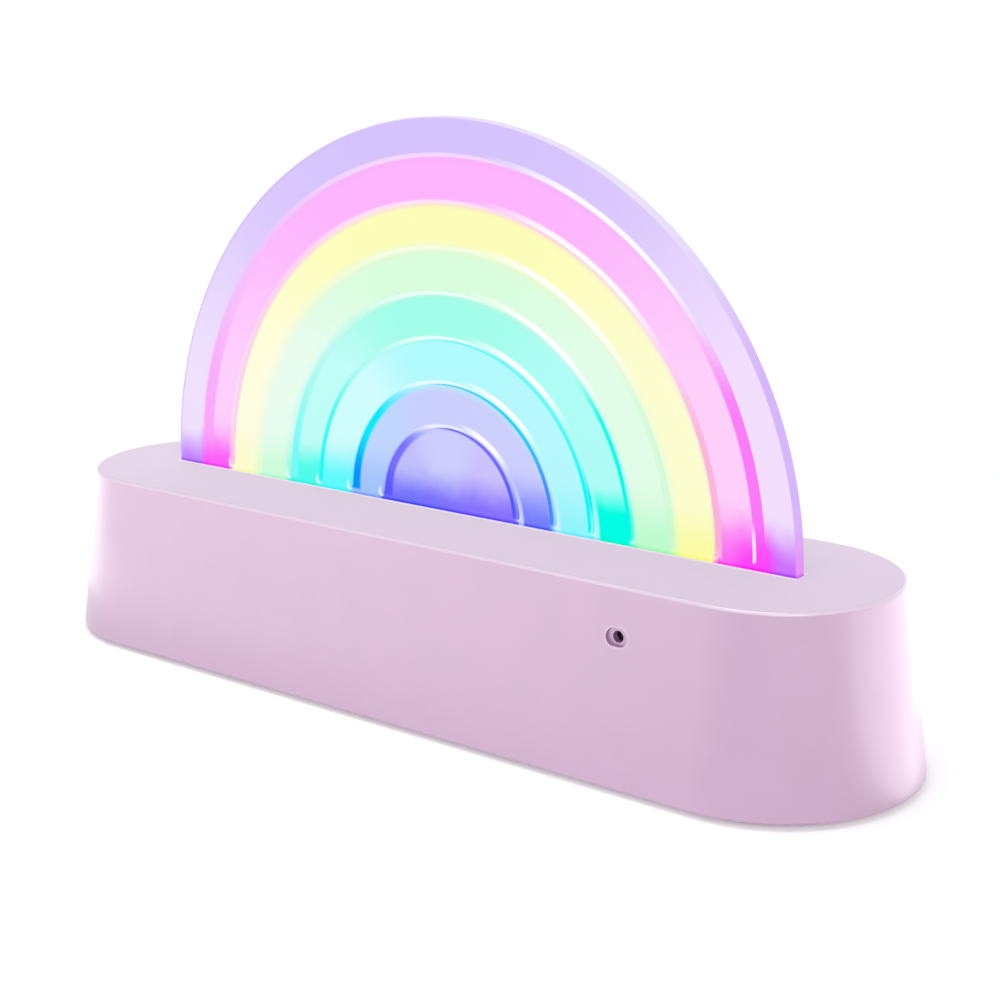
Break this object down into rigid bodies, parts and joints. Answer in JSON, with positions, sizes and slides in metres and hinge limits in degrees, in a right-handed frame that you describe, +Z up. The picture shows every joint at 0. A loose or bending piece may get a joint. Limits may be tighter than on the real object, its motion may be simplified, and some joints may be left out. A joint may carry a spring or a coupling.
{
  "type": "rainbow lamp",
  "caption": "Table lamp with a grooved half-disc panel, edge-lit in rainbow bands, standing in an obround base with a sound sensor, rear mode button, power slide and charging inlet.",
  "frame": {"origin": "on the table under the middle of the base, at the bottom of the feet", "axes": "+X along the base, to the right as seen from the front; -Y to the front; +Z up"},
  "size_m": [0.2198, 0.0606, 0.124],
  "materials": {
    "shell_plastic": "satin moulded, lilac pink",
    "plate_plastic": "fine moulded texture",
    "panel_acrylic": "polished clear sheet, lit from its lower edge",
    "white_plastic": "matte white",
    "led_package": "white package, lit",
    "circuit_board": "solder mask",
    "chip_black": "moulded",
    "switch_plastic": "moulded",
    "control_plastic": "satin moulded",
    "header_plastic": "moulded",
    "inlet_steel": "drawn",
    "cell_sleeve": "shrink sleeve over a metal can",
    "insulator": "card",
    "grey_rubber": "matte",
    "mic_can": "drawn",
    "lead_sheath": "smooth sheath",
    "screw_steel": "zinc plated"
  },
  "bodies": {
    "base": {"base_shell": "shell_plastic", "base_plate": "plate_plastic", "light_panel": "panel_acrylic", "led_tray": "white_plastic", "light_divider": "white_plastic", "led_01": "led_package", "led_02": "led_package", "led_03": "led_package", "led_04": "led_package", "led_05": "led_package", "led_06": "led_package", "led_07": "led_package", "led_08": "led_package", "led_09": "led_package", "led_10": "led_package", "led_11": "led_package", "led_12": "led_package", "led_13": "led_package", "led_14": "led_package", "led_15": "led_package", "led_16": "led_package", "led_board": "circuit_board", "control_board": "circuit_board", "controller_chip": "chip_black", "mode_switch": "chip_black", "power_switch": "chip_black", "mic_header": "header_plastic", "battery_header": "header_plastic", "ribbon_header": "header_plastic", "ribbon_plug": "header_plastic", "charging_inlet": "inlet_steel", "battery_cell": "cell_sleeve", "battery_cap": "insulator", "mic_boot": "grey_rubber", "foot_1": "grey_rubber", "foot_2": "grey_rubber", "foot_3": "grey_rubber", "foot_4": "grey_rubber", "microphone": "mic_can", "mic_lead": "lead_sheath", "battery_lead": "lead_sheath", "led_ribbon": "lead_sheath", "base_screw_1": "screw_steel", "base_screw_2": "screw_steel", "base_screw_3": "screw_steel", "base_screw_4": "screw_steel", "tray_screw_1": "screw_steel", "tray_screw_2": "screw_steel", "tray_screw_3": "screw_steel", "tray_screw_4": "screw_steel", "board_screw_1": "screw_steel", "board_screw_2": "screw_steel", "board_screw_3": "screw_steel", "board_screw_4": "screw_steel"},
    "mode_button": {"mode_button": "control_plastic", "mode_plunger": "switch_plastic"},
    "power_knob": {"power_knob": "control_plastic", "power_lever": "switch_plastic"}
  },
  "joints": [
    {"name": "mode_press", "type": "slide", "parent": "base", "child": "mode_button", "axis": [0, -1, 0], "range_m": [0, 0.0008], "stiffness_N_per_m": 2000},
    {"name": "power_slide", "type": "slide", "parent": "base", "child": "power_knob", "axis": [-1, 0, 0], "range_m": [0, 0.003]}
  ]
}
